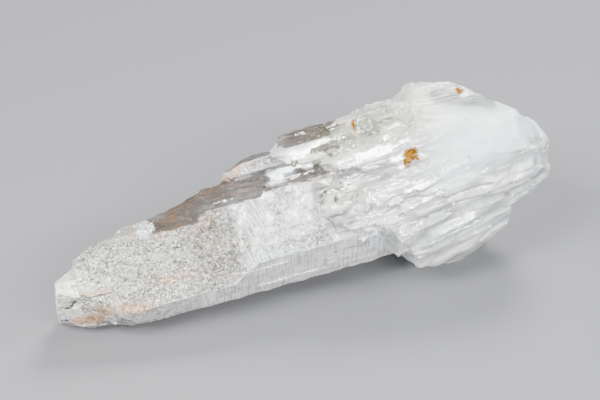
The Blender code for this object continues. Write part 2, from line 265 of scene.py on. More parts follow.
window += np.exp(-(((along - 50.2 - 0.37 * up) / 1.1) ** 2 + ((up - 4.2) / 3.0) ** 2)) * (out > 0)
rubble = root * outer * ramp(61.0, 58.0, along) * ramp(8.0, 6.0, up) * (1 - window)
broken = root * np.maximum(1 - outer, ramp(93.0, 96.0, along))
plain = root * outer * (1 - ribbed) * (1 - knobbly) * (1 - rubble) * (1 - 0.85 * dome)
plated = (ribbed + 0.6 * plain) * (1 - 0.8 * dome)
for x, y, long, wide in ((76.1, -8.8, 6.0, 1.6), (70.6, 6.2, 1.8, 1.6)):
    plated *= 1 - 0.9 * around(x, y, long, wide)
patchy = ramp(-0.4, 0.4, field((5.0, 4.0, 4.0), 2, 21.0))
pearly = ramp(35.0, 37.0, along) * ramp(44.0, 41.0, along) * front
glassy = around(47.5, 0.5, 4.0, 5.0) * front
grainy = etched * (0.4 + 0.6 * patchy) * (1 - 0.7 * pearly) * (1 - 0.5 * glassy)

# The relief, in millimetres.  The skin sinks a little first, which keeps the relief in the solid's box.
SUNK = 0.12
relief = 0.12 * field((7.0, 4.0, 4.0), 2, 3.0) * (1 - 0.5 * dome)
steps = 5 * field((14.0, 2.0, 2.0), 2, 8.0)
terraces = np.floor(steps) + ramp(0.35, 0.65, steps - np.floor(steps))
relief += 0.07 * terraces * (1 - etched) * (1 - root) * (1 - bevel)
coarse = grains((1.3, 1.0, 1.0), 2.0)
relief += grainy * (0.50 * coarse + 0.40 * grains((0.6, 0.5, 0.5), 7.0))
relief += 0.16 * coarse * (1 - etched) * (1 - 0.6 * root) * (1 - dome) * (1 - 0.6 * shelf) * (1 - window)
relief += plain * (0.6 * grains((8.0, 3.6, 4.0), 4.0, fan) + 0.15 * grains((3.5, 1.6, 2.0), 5.0, fan))
flutes = 0.12 * (scallops((22.0, 4.2, 6.0), 4.5, fan) - 0.3) + 0.25 * grains((7.0, 3.0, 3.0), 6.0, fan)
relief += ribbed * flutes * (1 - 0.6 * dome)
levels, seams, picks, which = plates((11.0, 2.6, 30.0), 9.0, fan)
relief += 0.7 * plated * levels
relief += knobbly * (0.9 * grains((2.8, 2.0, 2.0), 12.0) + 0.5 * grains((1.4, 1.0, 1.0), 16.0))
relief += rubble * (0.7 * grains((2.0, 1.6, 1.6), 13.0) + 0.4 * coarse)
relief += broken * (1.7 * (scallops((8.0, 6.5, 6.5), 14.0) - 0.5) + 0.5 * grains((3.0, 2.4, 2.4), 15.0)
                    + 0.3 * grains((1.3, 1.1, 1.1), 17.0))
points = points + normals * (relief - SUNK)[:, None]
points = soften(points, 0.5 * root * (1 - knobbly) * (1 - rubble) * outer, 1)
points = soften(points, 0.4 * ribbed, 1)

# Cleaved faces: flat, bright and parallel to the widest face, so that they all light up together.
FACETS = (
    # x, up, half the length, half the width, turned, raised
    (62.6, 8.1, 5.6, 1.05, 3, 0.15), (61.6, 0.2, 1.9, 0.42, -60, 0.1), (66.8, 1.2, 2.1, 0.8, 4, 0.1),
    (76.1, -8.8, 4.5, 0.95, 10, 0.35), (76.6, -10.3, 5.2, 0.3, 9, 0.25), (86.4, -2.4, 1.6, 0.35, 22, 0.1),
    (74.1, -1.8, 0.9, 0.4, -62, 0.1), (84.5, 14.2, 0.8, 0.45, 8, 0.1), (65.0, -4.5, 0.8, 0.5, 10, 0.1),
    (61.2, -6.0, 0.9, 0.4, 70, 0.0), (58.9, -6.7, 0.7, 0.5, 20, 0.0), (63.4, -5.3, 0.5, 0.7, 15, 0.0),
    (53.0, 12.2, 3.3, 0.65, 6, 0.1), (51.0, 11.0, 2.6, 0.6, 8, 0.0), (46.9, 9.0, 2.3, 0.9, 12, 0.1),
    (69.5, 12.0, 1.6, 0.4, 14, 0.1), (72.0, -2.6, 3.0, 0.35, 12, 0.1), (79.0, 2.0, 2.0, 0.5, 8, 0.0),
    (19.7, 5.3, 1.5, 0.9, 8, 0.1),
)
# Small chips are cleaved the same way: on the root, on the widest face beside it, and on the dome.
ROOT_CHIPS, FACE_CHIPS, DOME_CHIPS = 18, 46, 14
chance = Random(7)
chips = []
for number in range(ROOT_CHIPS):
    x, y = chance.uniform(58, 80), chance.uniform(-8, 11)
    on_dome = x > 70 and y > -2 + 0.25 * (x - 75)
    if not on_dome:
        chips.append((x, y, chance.uniform(0.7, 2.2), chance.uniform(0.35, 0.7), 6 + (x - 60) * 0.3
                      + chance.choice((0, 0, 0, 65)), 0.06))
for number in range(FACE_CHIPS):
    chips.append((chance.uniform(36, 50), chance.uniform(-4.5, 6.5), chance.uniform(0.3, 0.9),
                  chance.uniform(0.2, 0.5), chance.uniform(0, 90), 0.04))
for number in range(DOME_CHIPS):
    chips.append((chance.uniform(74, 93), chance.uniform(-1, 9), chance.uniform(0.3, 0.9),
                  chance.uniform(0.12, 0.3), chance.uniform(0, 30), 0.03))
along, up, out = points.T
cleaved = np.zeros(len(points))

# A third of the fan's plates are cleaved too, where they have points enough to show it.
NOT_CLEAVED, POINTS_ENOUGH = 0.66, 30
for number in np.unique(which[(picks > NOT_CLEAVED) & (plated > 0.5)]):
    plate = (which == number) & (normals[:, 2] > 0.55) & (plated > 0.3)
    if plate.sum() > POINTS_ENOUGH:
        level = np.median(out[plate])
        held = plate * (1 - seams) * ramp(1.4, 1.0, abs(out - level))
        points[:, 2] += 0.9 * held * (level + 0.05 - out)
        cleaved = np.maximum(cleaved, held)
ragged = points + 0.35 * bend(1.6, 91.0)
for x, y, long, wide, turn, raised in FACETS + tuple(chips):
    side, rise = ragged[:, 0] - x, ragged[:, 1] - y
    over = side * cos(radians(turn)) + rise * sin(radians(turn))
    across = rise * cos(radians(turn)) - side * sin(radians(turn))
    inside = ramp(1.3, 0.95, np.maximum(abs(over) / long, abs(across) / wide)) * (normals[:, 2] > 0.1)
    if not (inside > 0.5).any():
        continue
    level = np.median(out[inside > 0.5])
    inside = inside * (abs(out - level) < 2.0)
    points[:, 2] += inside * (level + raised - out)
    cleaved = np.maximum(cleaved, inside)
along, up, out = points.T
for vert, point in zip(skin.verts, points):
    vert.co = point

# What each place is like, for the finish.  Clouds are white veils, or clear places where the amount is below
# zero; some of them are partly painted light.  The others are iron stain, black specks with painted shade in
# pits, and a bluish or a straw-coloured cast.
CLOUDS = (
    # x, up, to x, to up, width, amount
    # The first cloud is partly milk and partly a painted sheen, where the widest face mirrors the strip lamp.
    (45.0, 1.0, 49.5, 1.0, 3.6, 1.0), (37.0, 3.0, 42.0, -3.0, 2.5, 0.15),
    (18.9, 5.1, 20.5, 5.5, 0.9, 1.0), (31.0, 2.0, 32.0, -3.5, 3.4, -1.0),
    (38.0, 5.5, 33.0, 1.0, 0.9, -0.2), (22.5, 5.2, 27.0, 5.4, 1.1, -0.6),
    (53.3, 6.6, 51.4, 0.8, 1.1, -1.3), (53.5, -1.5, 56.0, -2.2, 1.6, -0.8),
    # The clouds at the tip are partly milk and partly painted light on tip faces turned down and away from
    # the lamps.
    (0.0, -4.0, 6.0, -6.0, 5.0, 0.35), (-1.0, -1.0, 4.0, -2.0, 4.0, 0.5),
    (0.0, -7.0, 8.0, -8.5, 2.5, 0.4), (57.0, 5.2, 68.5, 5.9, 1.1, -0.5),
    (65.0, -8.4, 82.0, -2.6, 1.2, -0.5), (81.0, -3.0, 86.0, -3.2, 1.6, -0.2),
    (26.0, 7.0, 36.0, 8.5, 1.8, -0.5), (40.0, 9.0, 43.5, 8.6, 2.0, -0.55),
    (50.5, 8.4, 54.0, 8.2, 0.8, -0.5), (45.2, 8.8, 48.6, 9.4, 0.8, 0.9),
    (49.0, 11.4, 55.6, 12.0, 1.2, 0.35), (51.5, 14.8, 58.5, 14.6, 1.2, -0.9),
    (30.5, 6.3, 33.0, 6.6, 0.5, 0.7), (35.0, 6.6, 38.5, 6.9, 0.4, 0.7), (44.3, 7.6, 49.0, 7.9, 0.25, 1.0),
    (36.0, -5.2, 47.0, -5.2, 0.6, 0.6), (57.0, 8.0, 67.5, 8.2, 1.0, 0.5),
    (73.0, -12.0, 86.0, -9.0, 1.2, 0.25), (92.0, -5.5, 95.5, -4.0, 1.0, -0.4),
    (70.0, -10.5, 84.0, -7.5, 2.8, -0.3), (72.8, -9.4, 79.6, -8.2, 0.7, 1.0),
    (59.0, 12.0, 70.0, 14.0, 2.6, -0.4), (79.5, 15.2, 88.5, 11.6, 1.3, -1.5),
    (55.0, 3.6, 58.0, 4.6, 0.7, -0.6), (96.0, 0.0, 96.5, 5.0, 1.0, -0.3),
    (67.0, -10.8, 67.6, -11.8, 0.4, -0.6), (26.0, -0.5, 27.0, -0.6, 0.5, 0.4),
    (26.5, -1.6, 27.0, -2.0, 0.4, 0.5), (3.0, 2.5, 4.0, 3.4, 0.7, 0.8), (71.5, 1.0, 78.0, 2.0, 2.0, 0.3),
    (12.0, 5.6, 18.0, 6.4, 1.0, -0.35), (64.0, 3.6, 65.0, 3.4, 0.5, -0.6),
)
STAINS = (
    (6.0, -2.8, 10.3, -3.4, 0.6, 0.95), (8.0, -6.4, 10.0, -7.6, 1.4, 0.8),
    (12.5, -7.2, 16.5, -8.4, 1.3, 0.9), (4.0, -7.4, 8.0, -7.8, 0.7, 1.0),
    (2.0, -7.6, 8.0, -9.0, 0.6, 0.85), (22.6, 5.6, 26.2, 6.0, 0.9, 0.65),
    (25.0, 7.6, 36.0, 9.2, 1.2, 0.6), (37.6, 10.6, 40.0, 11.6, 0.8, 0.9),
    (40.0, 12.0, 43.5, 12.2, 0.8, 0.6), (17.0, 5.2, 17.8, 6.0, 0.5, 0.9),
    (21.0, 3.9, 27.0, 4.6, 0.35, 0.8), (18.5, -4.6, 25.0, -4.0, 1.3, 0.42),
    (26.5, 2.6, 32.0, 4.0, 1.4, 0.5), (28.0, -5.0, 33.0, -7.6, 0.8, 0.5),
    (30.0, 0.0, 33.0, -0.5, 1.6, 0.4), (49.5, 9.6, 50.2, 9.8, 0.4, 1.3),
    (52.0, 9.6, 55.0, 10.4, 0.6, 0.35), (57.6, 1.3, 59.2, 1.5, 0.4, 1.0),
    (54.7, 1.0, 54.8, 0.6, 0.3, 1.2), (62.6, 14.6, 62.5, 12.6, 0.35, 1.3),
    (83.8, 15.8, 83.8, 14.9, 0.5, 1.3), (70.3, 6.6, 70.9, 5.3, 1.1, 0.8),
    (68.5, 13.6, 71.5, 13.8, 0.4, 0.5), (65.0, 10.8, 66.4, 11.2, 0.2, 0.9),
    (65.4, -0.8, 67.0, -2.4, 0.5, 0.4), (67.4, -11.0, 67.5, -12.0, 0.35, 0.6),
    (76.5, 12.6, 77.2, 12.0, 0.3, 0.7), (80.2, 8.6, 80.5, 8.4, 0.3, 0.6),
    (37.2, -2.1, 37.6, -2.5, 0.25, 0.9), (11.0, 4.6, 20.0, 4.3, 0.3, 0.5),
)
# Black specks, and painted shade in small pits such as the one at the tip.
BLACK = (
    (2.6, -4.7, 4.3, -3.7, 0.32, 1.3), (1.2, -5.3, 2.4, -4.9, 0.12, 1.1),
    (1.2, -6.9, 3.2, -7.2, 0.25, 0.9), (4.4, -0.9, 5.6, -0.6, 0.14, 0.7),
    (2.4, -2.2, 3.2, -1.6, 0.14, 0.7), (63.2, 14.9, 63.4, 14.6, 0.4, 0.5),
    (63.6, 3.7, 64.6, 3.4, 0.3, 0.4), (22.6, 4.6, 25.8, 5.0, 0.2, 0.5),
    (34.6, -1.4, 35.4, -4.0, 0.25, 0.35), (55.1, 2.0, 55.2, 2.1, 0.15, 1.4),
    (96.8, -1.2, 97.0, -1.0, 0.25, 1.6), (96.0, -1.9, 96.2, -1.7, 0.3, 1.4),
)
BLUISH = (
    (18.5, 5.2, 20.8, 5.5, 1.3, 1.0), (45.0, 8.8, 49.0, 9.4, 1.2, 1.0),
    (36.0, -5.2, 47.0, -5.2, 0.9, 1.0), (30.5, 6.3, 33.0, 6.6, 0.8, 0.7),
    (38.2, -1.8, 38.3, -2.2, 0.25, 1.5), (77.0, 4.0, 94.0, 5.0, 6.0, 0.6),
    (92.0, -5.5, 96.0, -1.0, 2.0, 1.0), (72.0, -11.0, 86.0, -9.5, 2.5, 0.7),
    (36.5, 4.0, 41.0, -4.0, 2.5, 0.5), (26.5, -1.5, 27.5, -2.5, 0.7, 1.0),
    (62.0, 6.6, 75.0, -8.0, 1.0, 0.2), (60.0, -7.5, 66.0, -9.0, 1.0, 0.7),
)
STRAW = (
    (57.0, 12.0, 76.0, 13.5, 3.6, 1.2), (53.0, 9.8, 57.0, 10.5, 1.5, 0.8),
    (54.0, 3.0, 60.0, 2.0, 2.2, 0.6), (0.0, -2.0, 34.0, -1.0, 6.0, 0.7),
    (66.0, -1.0, 69.0, -0.6, 1.2, 0.5), (74.0, 4.5, 77.0, 5.0, 2.0, 0.4),
    (88.0, -4.5, 91.0, -4.0, 1.5, 0.4), (82.0, -12.0, 74.0, -14.0, 1.2, 0.5),
    (10.0, 6.0, 17.0, 7.0, 2.0, 0.5),
)
drifted = points + 0.35 * bend(2.5, 91.0)


def marks(places):
    """Adds up soft strokes on the side that looks out, each from one place to another."""
    total = np.zeros(len(points))
    for x, y, to_x, to_y, width, amount in places:
        step_x, step_y = to_x - x, to_y - y
        over = ((drifted[:, 0] - x) * step_x + (drifted[:, 1] - y) * step_y) / (step_x ** 2 + step_y ** 2)
        over = np.clip(over, 0, 1)
        gap = np.hypot(drifted[:, 0] - x - over * step_x, drifted[:, 1] - y - over * step_y)
        total += amount * np.exp(-(gap / width) ** 2)
    return total * ramp(-4.0, 2.0, out)


ribbons = field((14.0, 2.6, 4.0), 3, 15.0, fan)
veils = field((9.0, 5.0, 5.0), 3, 31.0)
cloud = 0.40 + 0.22 * root + 0.38 * dome + 0.65 * ribbons * root * (1 - 0.5 * dome) + 0.5 * bevel
cloud = cloud + marks(CLOUDS) + 0.2 * veils
rusty = ramp(0.25, 0.7, field((6.0, 3.0, 3.0), 3, 51.0))
hazy = ramp(0.0, 0.5, field((12.0, 6.0, 6.0), 2, 41.0))
smoke = (0.9 * shelf * ramp(18.0, 24.0, along) + 0.25 * hazy * (1 - bevel)) * (1 - root)
for grow in range(8):
    smoke = np.maximum(smoke, spread(smoke))
smoke *= 1 - etched
ledge = shelf * ramp(24.0, 18.0, along) * (1 - root)
frost = etched * (1 - 0.6 * glassy) * (1 - 0.7 * pearly) + 0.3 * knobbly + 0.5 * rubble + 0.6 * ledge
frost += 0.7 * bevel * ramp(30.0, 22.0, along)
frost *= 1 - 0.7 * ramp(7.0, 4.0, along)
masks = {
    "cloud": cloud,
    "frost": frost * (1 - window),
    "stain": marks(STAINS) + rusty * (0.3 - 0.15 * root),
    "smoke": smoke,
    "root": root * (1 - 0.6 * dome),
    "striation": bevel * ramp(16.0, 28.0, along),
    "pearl": pearly + 0.45 * glassy,
    "cleaved": cleaved * (along > 30),
    "seam": seams * plated,
    "satin": np.maximum(dome, np.clip(1.4 * window, 0, 1)),
    "black": marks(BLACK),
    "bluish": marks(BLUISH) + 0.08 * bevel + 0.5 * dome,
    "straw": marks(STRAW),
}

# Back onto the table, and no further out than the solid.
bmesh.ops.transform(skin, matrix=laid, verts=skin.verts)
for vert in skin.verts:
    vert.co = np.clip(vert.co, cad_box[0], cad_box[1])
skin.to_mesh(crystal_mesh)
skin.free()
for name, values in masks.items():
    mask = crystal_mesh.attributes.new(name, "FLOAT", "POINT")
    mask.data.foreach_set("value", np.clip(values, 0, 1).astype(np.float32))
grain_way = crystal_mesh.attributes.new("grain_way", "FLOAT_VECTOR", "POINT")
grain_way.data.foreach_set("vector", fan.ravel().astype(np.float32))
for polygon in crystal_mesh.polygons:
    polygon.use_smooth = True
crystal_mesh.set_sharp_from_angle(angle=radians(30))

# The finish of all quartz here: colour, gloss and the relief that is too fine for the mesh.
finish = bpy.data.node_groups.new("quartz_finish", "ShaderNodeTree")
for name in masks:
    finish.interface.new_socket(name.capitalize(), in_out="INPUT", socket_type="NodeSocketFloat")
finish.interface.new_socket("Fan", in_out="INPUT", socket_type="NodeSocketVector")
finish.interface.new_socket("Color", in_out="OUTPUT", socket_type="NodeSocketColor")
finish.interface.new_socket("Roughness", in_out="OUTPUT", socket_type="NodeSocketFloat")
finish.interface.new_socket("Height", in_out="OUTPUT", socket_type="NodeSocketFloat")
given = finish.nodes.new("NodeGroupInput")
result = finish.nodes.new("NodeGroupOutput")
object_place = finish.nodes.new("ShaderNodeTexCoord")
own_frame = finish.nodes.new("ShaderNodeMapping")
moved, turned, scaled = laid.inverted().decompose()
own_frame.inputs["Location"].default_value = moved
own_frame.inputs["Rotation"].default_value = turned.to_euler()
own_frame.inputs["Scale"].default_value = scaled
finish.links.new(object_place.outputs["Object"], own_frame.inputs["Vector"])


def connect(source, target):
    """Links an output socket to an input socket, or sets the input to a plain value."""
    if isinstance(source, bpy.types.NodeSocket):
        finish.links.new(source, target)
    else:
        target.default_value = source


def calc(operation, first, second=0.0, clamp=False):
    """One Math node."""
    node = finish.nodes.new("ShaderNodeMath")
    node.operation = operation
    node.use_clamp = clamp
    connect(first, node.inputs[0])
    connect(second, node.inputs[1])
    return node.outputs[0]


def times(first, second):
    """The product of two values."""
    return calc("MULTIPLY", first, second)


def plus(first, second):
    """The sum of two values."""
    return calc("ADD", first, second)


def vector_calc(operation, first, second):
    """One Vector Math node."""
    node = finish.nodes.new("ShaderNodeVectorMath")
    node.operation = operation
    connect(first, node.inputs[0])
    connect(second, node.inputs[1])
    return node.outputs["Value" if operation == "DOT_PRODUCT" else "Vector"]


def mix(amount, first, second, blend="MIX"):
    """One Mix node for colours."""
    node = finish.nodes.new("ShaderNodeMix")
    node.data_type = "RGBA"
    node.blend_type = blend
    connect(amount, node.inputs["Factor"])
    connect(first, node.inputs["A"])
    connect(second, node.inputs["B"])
    return node.outputs["Result"]


def band(value, low, high):
    """Rises smoothly from 0 at low to 1 at high."""
    node = finish.nodes.new("ShaderNodeMapRange")
    node.interpolation_type = "SMOOTHSTEP"
    connect(value, node.inputs["Value"])
    node.inputs["From Min"].default_value = low
    node.inputs["From Max"].default_value = high
    return node.outputs["Result"]


def noise_at(place, stretch, detail=3.0, rough=0.55):
    """Noise whose grain is stretch millimetres along X, Y and Z of the crystal's frame."""
    squeezed = vector_calc("DIVIDE", place, stretch)
    node = finish.nodes.new("ShaderNodeTexNoise")
    node.inputs["Scale"].default_value = 1.0
    node.inputs["Detail"].default_value = detail
    node.inputs["Roughness"].default_value = rough
    finish.links.new(squeezed, node.inputs["Vector"])
    return node.outputs["Fac"]


def thin_lines(contours):
    """Thin wandering lines where a noise crosses its middle."""
    return calc("SUBTRACT", 1.0, band(calc("ABSOLUTE", plus(contours, -0.5)), 0.01, 0.05))


def shards_at(place, stretch):
    """Small flat facets, stretch millimetres along X, Y and Z: their tilted height and two random values."""
    squeezed = vector_calc("DIVIDE", place, stretch)
    node = finish.nodes.new("ShaderNodeTexVoronoi")
    node.inputs["Scale"].default_value = 1.0
    finish.links.new(squeezed, node.inputs["Vector"])
    offset = vector_calc("SUBTRACT", squeezed, node.outputs["Position"])
    lean = vector_calc("SUBTRACT", node.outputs["Color"], (0.5, 0.5, 0.5))
    tilted = vector_calc("DOT_PRODUCT", offset, lean)
    single = finish.nodes.new("ShaderNodeSeparateColor")
    finish.links.new(node.outputs["Color"], single.inputs["Color"])
    return tilted, single.outputs["Red"], single.outputs["Green"]


# The patterns: broad drifts, mottling and streaks; the rulings of the lower face; the shards and chips of the
# etched face; the blades and growth lines of the fan; and the slanted lines of the pearly patch.
FAR_OFF = (37.0, 11.0, 5.0)
PEARL_SLANT = radians(-14)
mask = given.outputs
spot = own_frame.outputs["Vector"]
drift = noise_at(spot, (3.5, 2.0, 2.0), 4.0)
mottle = noise_at(spot, (0.9, 0.9, 0.9), 3.0)
streaks = noise_at(spot, (6.0, 0.8, 0.8), 3.0)
rulings = noise_at(spot, (0.30, 6.0, 6.0), 2.0, 0.6)
fine_rulings = noise_at(spot, (0.14, 2.0, 2.0), 1.0, 0.5)
shard, shard_light, shard_dark = shards_at(spot, (0.48, 0.42, 0.42))
chip, chip_gloss, chip_dark = shards_at(spot, (0.26, 0.23, 0.23))
blade, blade_clear = shards_at(mask["Fan"], (6.0, 1.4, 2.0))[:2]
growth = noise_at(mask["Fan"], (10.0, 0.7, 2.0), 3.0)
slanted = finish.nodes.new("ShaderNodeVectorRotate")
slanted.rotation_type = "Z_AXIS"
slanted.inputs["Angle"].default_value = PEARL_SLANT
finish.links.new(spot, slanted.inputs["Vector"])
pearl_lines = noise_at(slanted.outputs["Vector"], (0.32, 3.6, 3.6), 3.0, 0.7)
crackle = thin_lines(noise_at(spot, (0.9, 0.8, 0.8), 2.0, 0.6))
painted_glint_lines = thin_lines(noise_at(vector_calc("ADD", spot, FAR_OFF), (0.7, 0.6, 0.6), 2.0, 0.7))

# Colour.  Milk over clear quartz, then each mark in turn.
MILK_WHITE = (0.92, 0.93, 0.935, 1)
CLEAR_ON_FACE, CLEAR_ON_ROOT = (0.17, 0.168, 0.16, 1), (0.30, 0.302, 0.30, 1)
SMOKY_BROWN, PALE_FLECK = (0.39, 0.29, 0.23, 1), (0.72, 0.73, 0.76, 1)
CHIP_GREY, SHARD_GREY = (0.14, 0.138, 0.128, 1), (0.14, 0.133, 0.122, 1)
WHITE_GRAIN_AND_GLINT, GRAIN_BROWN, CRACK_DARK = (0.98, 0.98, 0.98, 1), (0.16, 0.125, 0.11, 1), (0.09, 0.08, 0.074, 1)
RULED_MAUVE = (0.43, 0.39, 0.43, 1)
PEARL_GREY, PEARL_WHITE = (0.26, 0.28, 0.30, 1), (0.95, 0.98, 1.0, 1)
SEAM_GREY, GROWTH_GREY, BLADE_GREY = (0.36, 0.36, 0.35, 1), (0.45, 0.455, 0.45, 1), (0.42, 0.42, 0.425, 1)
CLEAVED_PAINTED_SHEEN, CLEAVED_LINE = (0.92, 0.94, 0.95, 1), (0.45, 0.45, 0.47, 1)
BLUISH_CAST, STRAW_CAST = (0.84, 0.96, 1.0, 1), (0.965, 0.97, 0.74, 1)
RUST_ON_FACE, RUST_ON_ROOT = (0.50, 0.26, 0.115, 1), (0.30, 0.14, 0.008, 1)
SPECK_BLACK_AND_PIT_SHADE = (0.07, 0.072, 0.08, 1)
milk = calc("ADD", mask["Cloud"], times(plus(drift, -0.5), 0.8), clamp=True)
colour = mix(milk, mix(mask["Root"], CLEAR_ON_FACE, CLEAR_ON_ROOT), MILK_WHITE)
colour = mix(times(mask["Smoke"], band(streaks, 0.3, 0.7)), colour, SMOKY_BROWN)
flecks = times(mask["Smoke"], band(mottle, 0.57, 0.66))
colour = mix(times(flecks, 0.75), colour, PALE_FLECK)
colour = mix(times(mask["Frost"], times(chip_dark, 0.8)), colour, CHIP_GREY)
colour = mix(times(mask["Frost"], times(shard_dark, 0.75)), colour, SHARD_GREY)
# Pale grains of the frost, and thin lines of painted glints: white painted into the colour as highlights.
white_grain_and_painted_glint = times(mask["Frost"], calc("MAXIMUM", painted_glint_lines, band(shard_light, 0.80, 0.95)))
colour = mix(times(white_grain_and_painted_glint, plus(0.3, times(milk, 0.7))), colour, WHITE_GRAIN_AND_GLINT)
dark_grain = times(times(mask["Frost"], band(shard_dark, 0.70, 0.98)), band(mottle, 0.35, 0.65))
colour = mix(times(dark_grain, 0.8), colour, GRAIN_BROWN)
colour = mix(times(times(mask["Frost"], crackle), 0.9), colour, CRACK_DARK)
dark_line = times(mask["Striation"], band(rulings, 0.46, 0.60))
colour = mix(times(dark_line, 0.75), colour, RULED_MAUVE)
colour = mix(times(times(mask["Pearl"], band(pearl_lines, 0.50, 0.42)), 0.85), colour, PEARL_GREY)
colour = mix(times(times(mask["Pearl"], band(pearl_lines, 0.51, 0.60)), 0.95), colour, PEARL_WHITE)
colour = mix(times(mask["Seam"], 0.5), colour, SEAM_GREY)
colour = mix(times(times(mask["Root"], band(growth, 0.56, 0.66)), 0.25), colour, GROWTH_GREY)
colour = mix(times(times(mask["Root"], band(blade_clear, 0.55, 1.0)), 0.2), colour, BLADE_GREY)
# Cleaved faces are painted whiter: a painted highlight on top of the strip lamp that they mirror.
colour = mix(times(mask["Cleaved"], 0.65), colour, CLEAVED_PAINTED_SHEEN)
colour = mix(times(times(mask["Cleaved"], band(rulings, 0.48, 0.56)), 0.6), colour, CLEAVED_LINE)
colour = mix(times(mask["Bluish"], 0.8), colour, BLUISH_CAST, "MULTIPLY")
colour = mix(times(mask["Straw"], 0.8), colour, STRAW_CAST, "MULTIPLY")
rust = times(mask["Stain"], band(plus(plus(drift, times(mottle, 0.5)), mask["Stain"]), 0.85, 1.8))
rust_colour = mix(mask["Root"], RUST_ON_FACE, RUST_ON_ROOT)
colour = mix(times(rust, 0.8), colour, rust_colour)
# Black specks, and painted shade in the pits.
colour = mix(band(plus(mask["Black"], times(plus(mottle, -0.5), 2.2)), 0.45, 0.8), colour, SPECK_BLACK_AND_PIT_SHADE)
finish.links.new(colour, result.inputs["Color"])

# Gloss.  Fresh quartz is glassy, the grains of the frost differ from each other, and the dome is satin.
gloss = plus(plus(0.04, times(drift, 0.14)), times(mask["Frost"], times(chip_gloss, 0.18)))
gloss = plus(plus(gloss, times(mask["Satin"], 0.38)), times(mask["Root"], 0.06))
gloss = times(gloss, plus(1.0, times(mask["Cleaved"], -0.4)))
finish.links.new(gloss, result.inputs["Roughness"])

# Fine relief.  Cleaved places are flat but for their rulings.
height = times(mask["Frost"], plus(times(shard, 0.7), times(chip, 0.4)))
height = plus(height, times(mask["Pearl"], times(pearl_lines, 1.2)))
height = plus(height, times(plus(1.0, times(mask["Satin"], -0.9)), times(drift, 0.4)))
height = plus(height, times(mask["Root"], plus(times(blade, 0.35), times(shard, 0.08))))
height = plus(height, times(mask["Root"], times(growth, 0.6)))
height = times(height, plus(1.0, times(mask["Cleaved"], -0.9)))
ruled = plus(times(rulings, 0.7), times(fine_rulings, 0.3))
height = plus(height, times(plus(mask["Striation"], times(mask["Cleaved"], 0.5)), ruled))
finish.links.new(height, result.inputs["Height"])

QUARTZ_IOR = 1.544


def quartz(name, transmission, subsurface, bump):
    """One kind of quartz, by how see-through it is and how far light spreads in it."""
    material = bpy.data.materials.new(name)
    material.use_nodes = True
    tree = material.node_tree
    shader = tree.nodes["Principled BSDF"]
    look = tree.nodes.new("ShaderNodeGroup")
    look.node_tree = finish
    for name_of_mask in masks:
        reader = tree.nodes.new("ShaderNodeAttribute")
        reader.attribute_name = name_of_mask
        tree.links.new(reader.outputs["Fac"], look.inputs[name_of_mask.capitalize()])
    fan_reader = tree.nodes.new("ShaderNodeAttribute")
    fan_reader.attribute_name = "grain_way"
    tree.links.new(fan_reader.outputs["Vector"], look.inputs["Fan"])
    fine_relief = tree.nodes.new("ShaderNodeBump")
    fine_relief.inputs["Strength"].default_value = bump
    fine_relief.inputs["Distance"].default_value = 0.3 * MM
    tree.links.new(look.outputs["Height"], fine_relief.inputs["Height"])
    tree.links.new(fine_relief.outputs["Normal"], shader.inputs["Normal"])
    tree.links.new(look.outputs["Color"], shader.inputs["Base Color"])
    tree.links.new(look.outputs["Roughness"], shader.inputs["Roughness"])
    shader.inputs["IOR"].default_value = QUARTZ_IOR
    shader.inputs["Transmission Weight"].default_value = transmission
    shader.inputs["Specular IOR Level"].default_value = 0.7
    shader.inputs["Subsurface Weight"].default_value = subsurface
    shader.inputs["Subsurface Radius"].default_value = (1.0, 0.97, 0.94)
    shader.inputs["Subsurface Scale"].default_value = 1.5 * MM
    return material


crystal_mesh.materials.clear()
for kind in (quartz("frosted_quartz", transmission=0.3, subsurface=0.0, bump=1.0),
             quartz("clear_quartz", transmission=0.9, subsurface=0.0, bump=0.4),
             quartz("milky_quartz", transmission=0.5, subsurface=0.5, bump=0.5)):
    crystal_mesh.materials.append(kind)
FROSTED, CLEAR, MILKY = range(3)
MILKY_FROM, CLEAR_FROM = 0.5, 0.35
for polygon in crystal_mesh.polygons:
    corner = polygon.vertices[0]
    if root[corner] > MILKY_FROM:
        polygon.material_index = MILKY
    elif smoke[corner] > CLEAR_FROM:
        polygon.material_index = CLEAR
    else:
        polygon.material_index = FROSTED
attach(crystal, "root")
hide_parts("quartz_crystal")

# ---------------------------------------------------------------------------------------------------------
# Rust grains.  Crumbs of orange-brown iron oxide, each a lumpy, flattened ball.  They are stuck in a broken
# pocket near the root, and a few sit in two smaller hollows.

